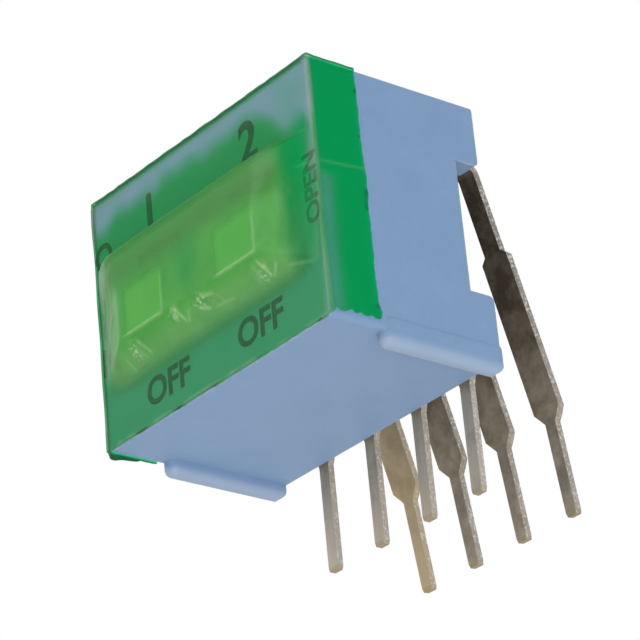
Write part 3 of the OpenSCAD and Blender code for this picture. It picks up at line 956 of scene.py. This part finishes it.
def filmFields(x, z, flap, low, high, fall, onFace, loose, setting):
    # share of each zone at each point, from 0 to 1
    # the cloudiness outruns the foot, a painted light over the tent's shadow there, but not at the sharp crease
    # above
    endBelow, endAbove = setting["cloudEnd"]
    ending = np.where(z > setting["flatHigh"], endAbove, endBelow)
    raised = (1 - smoothRamp(fall, ending - setting["cloudFade"], ending)) * onFace
    # and is thinner beside the right fold, to the left and at the upper crease
    foldShare, foldOver = setting["clearFold"]
    leftShare, leftOver = setting["clearLeft"]
    highShare, highOver = setting["clearHigh"]
    nearFold = window(x, *foldOver) * (flap == 0)
    raised = raised * (1 - np.maximum(foldShare * nearFold, leftShare * smoothRamp(-x, *leftOver)))
    raised = raised * (1 - highShare * smoothRamp(z - setting["flatHigh"], *highOver))
    oliveShare, oliveOver, oliveFalls = setting["oliveLeft"]
    leftSlope = oliveShare * smoothRamp(-x, *oliveOver) * (1 - smoothRamp(fall, *oliveFalls)) * onFace
    deepShare, deepZ, deepSpread = setting["deepFold"]
    # painted light: the lower slope is lightened over the tent's shadow
    lowSlope = smoothRamp(setting["flatLow"] - z, *setting["lowSlope"]) * raised
    tornEdge = bump(z - low, *setting["paleTear"]) * specks(x, *setting["paleSpecks"]) * (flap == 0)
    white = setting["highlightShare"]
    return {
        "raised": raised,
        "valley": raised * valleyShare(x, z, setting) * smoothRamp(z, *setting["valleyZ"]),
        # painted shade above the nubs, and olive on the left slope
        "oliveShade": np.maximum(raised * smoothRamp(z, *setting["oliveZ"]), leftSlope),
        "touch": nubTouch(x, z, setting) * onFace,
        "deep": np.maximum(
            smoothRamp(flap, *setting["deepFlap"]), deepShare * nearFold * bump(z, deepZ, deepSpread),
        ),
        "pale": loose,
        # painted highlights along creases and edges, painted light on the lower slope, and pale specks at the torn
        # edge
        "white": np.max([
            highlightLines(x, z, flap, setting), white["slope"] * lowSlope, white["torn"] * tornEdge,
        ], 0),
        # painted glints on the crumpled patches
        "crumpleGlint": glintPatchField(x, z, setting) * onFace,
        "rim": edgeDarkening(x, z, flap, low, high, setting),
    }


def filmSurface(setting):
    # each point: its place on the wrap, pushed out along the wrap's normal by the tent, folds and bridges
    baseX, flapShare, normalX, normalY = stripRun(setting)
    low, high = stripEdges(baseX, flapShare, setting)
    rows = round((topZ - bottomZ) / setting["step"])
    z = low + (high - low) * np.linspace(0, 1, rows)[None, :]
    x = np.repeat(baseX[:, None], rows, 1)
    flap = np.repeat(flapShare[:, None], rows, 1)
    torn = np.where(x > 0, ragged(z, *setting["tornRight"]), ragged(z, *setting["tornLeft"]))
    longer, tongueZ, tongueWidth = setting["tornTongue"]
    torn = torn + ragged(z, *setting["tornWave"]) + longer * bump(z, bottomZ + tongueZ, tongueWidth)
    depth = flap * (setting["flap"] + torn)

    fall = tentFall(x, z, setting)
    rise = tentRise(fall, setting)
    sunk = 1 - setting["sag"] * valleyShare(x, z, setting)
    height = (nubOut + setting["room"] - setting["standOff"]) * np.minimum(rise, 1.0) * sunk
    folds = filmFolds(x, z, rise, setting)
    onFace = (flap == 0) * (1 - smoothRamp(np.abs(x) - halfLength, *setting["tentEnd"]))
    faceWidth, flapWidth = setting["foldWidth"]
    mean, swing, swingTurn = setting["foldWave"]
    nearFold = np.where(flap == 0, bump(np.abs(x), halfLength, faceWidth), bump(flap, 0.0, flapWidth))
    bridge = setting["foldLift"] * nearFold * (mean + swing * np.sin(swingTurn * z))
    loose = looseBand(x, z, flap, setting)
    push = setting["standOff"] + (height + folds) * onFace + bridge + setting["looseLift"] * loose
    push = np.maximum(push, setting["standOff"])

    def layer(away):
        # the wrap, moved out along its normal
        return np.stack([x + normalX[:, None] * away, faceY + depth + normalY[:, None] * away, z], -1)

    points, quads = gridShell(layer(push + setting["thick"]), layer(push))
    return points, quads, filmFields(x, z, flap, low, high, fall, onFace, loose, setting)


# Polyester film, dyed green: deep where it is stuck, pale where it has let go, cloudy and yellower where
# stretched, with painted highlights on its creases and crumples, painted shade above the nubs and painted light
# over the tent's shadow
filmLook = {
    # per face of the film: what passes through, what scatters, and how much scatters
    "stuck": ("#B4F7CB", "#1FA866", 0.10),
    "zones": {
        # in the order they are laid over the stuck film, each by the field of that name
        "raised": ("#C8F4BE", "#65BF60", 0.55),
        "valley": ("#C8F4BE", "#48B25E", 0.55),
        # painted shade above the nubs, and olive on the left slope
        "oliveShade": ("#DCF6CE", "#64A65C", 0.42),
        "touch": ("#DAF8CE", "#62C666", 0.32),
        "deep": ("#89FFDA", "#00BD69", 0.25),
        "pale": ("#F4FDF8", "#9AA8A4", 0.10),
        # painted highlights along creases and edges, and pale specks at the torn edge
        "white": ("#E6FAE0", "#D2F0C4", 0.60),
        # painted glints on crumpled film, broken into bright facets
        "crumpleGlint": ("#E2F8DC", "#CBE8BC", 0.55),
        # darker along the cut edges and the left fold
        "rim": ("#7FB89A", "#1C4A34", 0.45),
    },
    "cloudRoughness": 0.5,
    "facetSize": 0.11,            # mm
    "facetTint": (0.5, 0.75),     # of a facet's random tint in the painted glints, from dull to bright
    "blotchSize": 1.4,            # mm
    "blotchNoise": (0.3, 0.7),
    "blotchShare": (0.8, 1.1),    # times a zone's share
    "crinkleSize": 0.35,          # mm
    "crinkleHeight": 0.03,        # mm
    "crinkleShare": (0.12, 0.3),  # on stuck and on raised film
    "gloss": 0.28,
    "straightOn": 0.02,           # share mirrored straight on
    "edgeOn": 0.5,                # share mirrored at a grazing angle, kept low by the crinkles
    "grazingPower": 5.0,
    "flapGloss": (1.0, 0.25),     # on the face and on the flaps
}


def dyedFilm(setting):
    # a tinted clear layer and a cloudy one, their colours and shares blended zone by zone, under a thin gloss
    material, tree, output = newMaterial("dyed_polyester_film")
    place = objectPlace(tree)
    blotch = noise(tree, place, setting["blotchSize"], detail=3.0)
    uneven = ramp(tree, blotch, setting["blotchNoise"], setting["blotchShare"])
    facets = addNode(tree, "ShaderNodeTexVoronoi", {}, {"Vector": place, "Scale": perMm(setting["facetSize"])})
    glints = ramp(tree, facets.outputs["Color"], setting["facetTint"])
    clear, scatter = hexColour(setting["stuck"][0]), hexColour(setting["stuck"][1])
    cloudShare = [setting["stuck"][2]] * 3 + [1.0]
    fields = {}
    for zone, (zoneClear, zoneScatter, zoneShare) in setting["zones"].items():
        fields[zone] = addNode(tree, "ShaderNodeAttribute", {"attribute_name": zone}).outputs["Fac"]
        breakUp = glints if zone == "crumpleGlint" else uneven
        amount = combine(tree, "MULTIPLY", fields[zone], breakUp, clamp=True)
        clear = blend(tree, amount, clear, hexColour(zoneClear))
        scatter = blend(tree, amount, scatter, hexColour(zoneScatter))
        cloudShare = blend(tree, amount, cloudShare, [zoneShare] * 3 + [1.0])
    relief = addNode(tree, "ShaderNodeBump", {}, {
        "Strength": ramp(tree, fields["raised"], toRange=setting["crinkleShare"]),
        "Distance": setting["crinkleHeight"] * mm,
        "Height": noise(tree, place, setting["crinkleSize"], detail=2.0, distortion=0.8),
    }).outputs["Normal"]
    through = addNode(tree, "ShaderNodeBsdfTransparent", {}, {"Color": clear})
    cloudy = addNode(tree, "ShaderNodeBsdfPrincipled", {}, {
        "Base Color": scatter,
        "Roughness": setting["cloudRoughness"],
        "Specular IOR Level": 0.0,
        "Normal": relief,
    })
    sheet = addNode(tree, "ShaderNodeMixShader", {}, {
        0: cloudShare, 1: through.outputs["BSDF"], 2: cloudy.outputs["BSDF"],
    })
    gloss = addNode(tree, "ShaderNodeBsdfGlossy", {}, {"Roughness": setting["gloss"], "Normal": relief})
    # gloss by the usual fifth power rule, the same from both sides of the film, and dull on the flaps
    slant = addNode(tree, "ShaderNodeLayerWeight", {}, {"Blend": 0.5, "Normal": relief})
    grazing = combine(tree, "POWER", slant.outputs["Facing"], setting["grazingPower"])
    mirror = ramp(tree, grazing, toRange=(setting["straightOn"], setting["edgeOn"]))
    dulled = ramp(tree, fields["deep"], toRange=setting["flapGloss"])
    layers = addNode(tree, "ShaderNodeMixShader", {}, {
        0: combine(tree, "MULTIPLY", mirror, dulled),
        1: sheet.outputs["Shader"],
        2: gloss.outputs["BSDF"],
    })
    tree.links.new(layers.outputs["Shader"], output.inputs["Surface"])
    return material


points, quads, fields = filmSurface(film)
tapeFilm = meshPiece("tape_film", points, quads, dyedFilm(filmLook))
for name, values in fields.items():
    field = tapeFilm.data.attributes.new(name, "FLOAT", "POINT")
    field.data.foreach_set("value", np.tile(values.ravel(), 2).astype(np.float32))
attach(tapeFilm, "switch_body")
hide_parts("tape_seal")
print("film laid:", len(tapeFilm.data.polygons), "quads")
